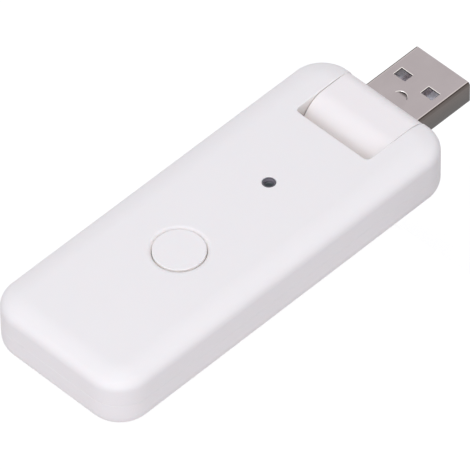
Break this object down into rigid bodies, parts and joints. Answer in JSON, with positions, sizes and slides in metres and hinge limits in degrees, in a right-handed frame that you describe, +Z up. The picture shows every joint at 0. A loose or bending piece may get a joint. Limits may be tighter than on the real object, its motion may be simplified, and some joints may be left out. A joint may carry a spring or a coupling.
{
  "type": "usb radio stick",
  "caption": "Flat white radio stick for a smart home, with a push button, a status light and a USB plug on a folding hinge head between two ears.",
  "frame": {"origin": "on the table, at the middle of the bounding box's base, with the plug straight out", "axes": "+X along the stick towards the plug's tip, +Y to the left seen from above with the plug ahead, +Z up, out of the face with the button"},
  "size_m": [0.0882, 0.0298, 0.0106],
  "materials": {
    "white_casing": "moulded, fine satin",
    "white_head": "moulded, fine satin",
    "white_button": "moulded, fine satin",
    "smoked_lens": "clear, smoke tinted",
    "plated_steel": "nickel plated, rolled",
    "grey_insulator": "moulded, plain",
    "gold_plate": "gold flash",
    "green_board": "solder mask over glass cloth",
    "blue_board": "solder mask over glass cloth",
    "black_resin": "moulded, fine matt",
    "dark_ferrite": "pressed and fired",
    "tinned_steel": "tin plated, pressed",
    "spring_steel": "rolled, bright",
    "yellow_resin": "moulded, matt",
    "tan_ceramic": "fired, tinned ends",
    "dark_ceramic": "fired, glazed",
    "pale_resin": "cast, clear",
    "acetal": "moulded, natural",
    "red_insulation": "drawn vinyl",
    "white_insulation": "drawn vinyl",
    "green_insulation": "drawn vinyl",
    "black_insulation": "drawn vinyl"
  },
  "bodies": {
    "casing": {"top_shell": "white_casing", "bottom_shell": "white_casing", "light_pipe": "smoked_lens", "aerial_track": "gold_plate", "main_board": "green_board", "radio_board": "blue_board", "usb_bridge_chip": "black_resin", "flash_memory": "black_resin", "voltage_regulator": "black_resin", "radio_chip": "black_resin", "switch_base": "black_resin", "ferrite_bead": "dark_ferrite", "shield_can": "tinned_steel", "crystal_can": "tinned_steel", "switch_cover": "tinned_steel", "flash_legs": "tinned_steel", "switch_dome": "spring_steel", "tantalum_capacitor": "yellow_resin", "ceramic_capacitors": "tan_ceramic", "chip_resistors": "dark_ceramic", "status_led": "pale_resin", "friction_washer_left": "acetal", "friction_washer_right": "acetal", "case_power_wire": "red_insulation", "case_data_minus_wire": "white_insulation", "case_data_plus_wire": "green_insulation", "case_ground_wire": "black_insulation"},
    "button": {"button_cap": "white_button", "switch_plunger": "acetal"},
    "plug_head": {"head_lower": "white_head", "head_upper": "white_head", "usb_shell": "plated_steel", "usb_insulator": "grey_insulator", "power_contact": "gold_plate", "data_minus_contact": "gold_plate", "data_plus_contact": "gold_plate", "ground_contact": "gold_plate", "plug_board": "green_board", "head_power_wire": "red_insulation", "head_data_minus_wire": "white_insulation", "head_data_plus_wire": "green_insulation", "head_ground_wire": "black_insulation"}
  },
  "joints": [
    {"name": "plug_fold", "type": "hinge", "parent": "casing", "child": "plug_head", "pos_m": [0.02485, 0, 0.0053], "axis": [0, 1, 0], "range_deg": [-90, 90]},
    {"name": "button_press", "type": "slide", "parent": "casing", "child": "button", "axis": [0, 0, -1], "range_m": [0, 0.00025], "stiffness_N_per_m": 4000, "deforming": ["switch_dome"]}
  ]
}
